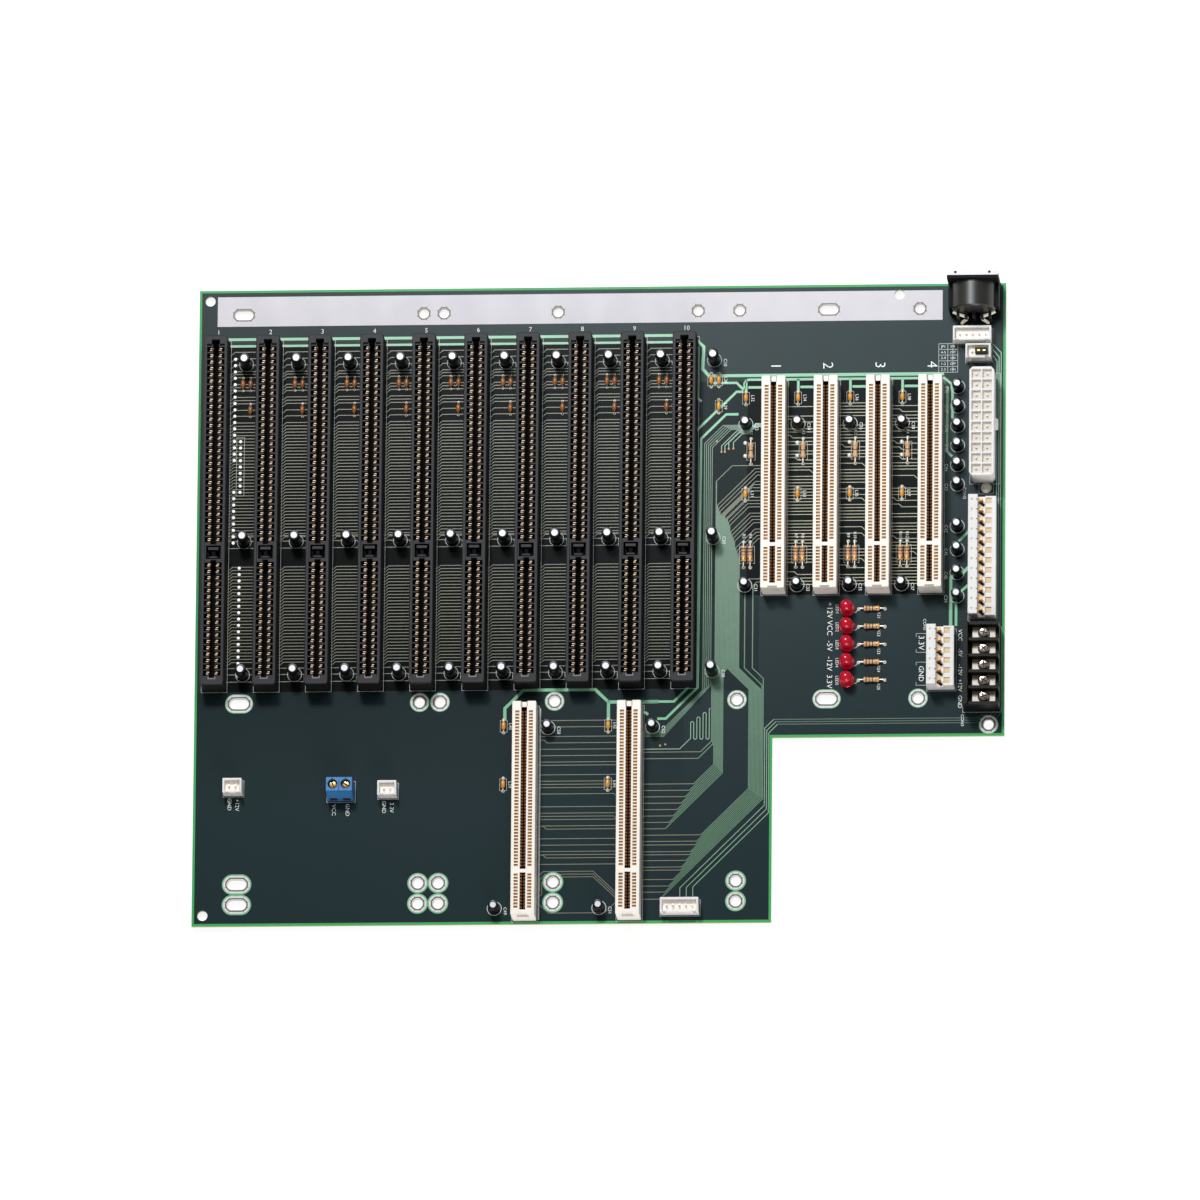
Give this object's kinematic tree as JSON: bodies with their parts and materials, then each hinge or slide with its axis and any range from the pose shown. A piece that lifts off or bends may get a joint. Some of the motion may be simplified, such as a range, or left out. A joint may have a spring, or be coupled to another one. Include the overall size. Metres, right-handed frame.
{
  "type": "passive backplane",
  "caption": "Notched green backplane board with rows of long black and short ivory card slots, power headers, screw terminals, capacitors and indicator lamps.",
  "frame": {"origin": "centre of the board's rectangle on its underside", "axes": "+X along the row of slots towards the power connectors, +Y towards the keyboard socket's edge, +Z out of the component side"},
  "size_m": [0.315, 0.254, 0.0216],
  "materials": {
    "bead_coating": "dipped orange coating",
    "black_moulding": "moulded black plastic",
    "blue_moulding": "moulded blue plastic",
    "can_sleeve": "shrunk black sleeve, bare aluminium top",
    "gilt_metal": "gilt brass",
    "ivory_moulding": "moulded ivory plastic",
    "laminate": "green solder mask over laminate, with bare tinned lands",
    "red_lens": "red tinted clear resin",
    "resistor_coating": "beige lacquer with colour bands",
    "tinned_metal": "tinned steel",
    "white_moulding": "moulded white plastic"
  },
  "bodies": {
    "root": {"bus_beads": "bead_coating", "bus_cans_lower": "can_sleeve", "bus_cans_middle": "can_sleeve", "bus_cans_upper": "can_sleeve", "circuit_board": "laminate", "fan_header": "white_moulding", "fan_header_pins": "gilt_metal", "feed_header": "white_moulding", "feed_header_pins": "gilt_metal", "host_beads": "bead_coating", "host_cans": "can_sleeve", "host_slot_1": "ivory_moulding", "host_slot_2": "ivory_moulding", "indicator_lamps": "red_lens", "isa_slot_01": "black_moulding", "isa_slot_02": "black_moulding", "isa_slot_03": "black_moulding", "isa_slot_04": "black_moulding", "isa_slot_05": "black_moulding", "isa_slot_06": "black_moulding", "isa_slot_07": "black_moulding", "isa_slot_08": "black_moulding", "isa_slot_09": "black_moulding", "isa_slot_10": "black_moulding", "keyboard_header": "white_moulding", "keyboard_header_pins": "gilt_metal", "keyboard_socket_body": "black_moulding", "keyboard_socket_contacts": "tinned_metal", "keyboard_socket_shield": "tinned_metal", "lamp_resistors": "resistor_coating", "link_resistors": "resistor_coating", "local_beads": "bead_coating", "local_cans": "can_sleeve", "outlet_header": "white_moulding", "outlet_header_posts": "gilt_metal", "panel_header": "white_moulding", "panel_header_pins": "gilt_metal", "pci_slot_1": "ivory_moulding", "pci_slot_2": "ivory_moulding", "pci_slot_3": "ivory_moulding", "pci_slot_4": "ivory_moulding", "select_resistors": "resistor_coating", "spare_header": "white_moulding", "spare_header_posts": "gilt_metal", "supply_cans": "can_sleeve", "supply_socket": "white_moulding", "switch_header": "white_moulding", "switch_header_pins": "gilt_metal", "switch_jumper": "black_moulding", "terminal_block": "black_moulding", "terminal_plates": "tinned_metal", "terminal_screws": "tinned_metal", "wire_terminal": "blue_moulding", "wire_terminal_screws": "gilt_metal"}
  },
  "joints": []
}
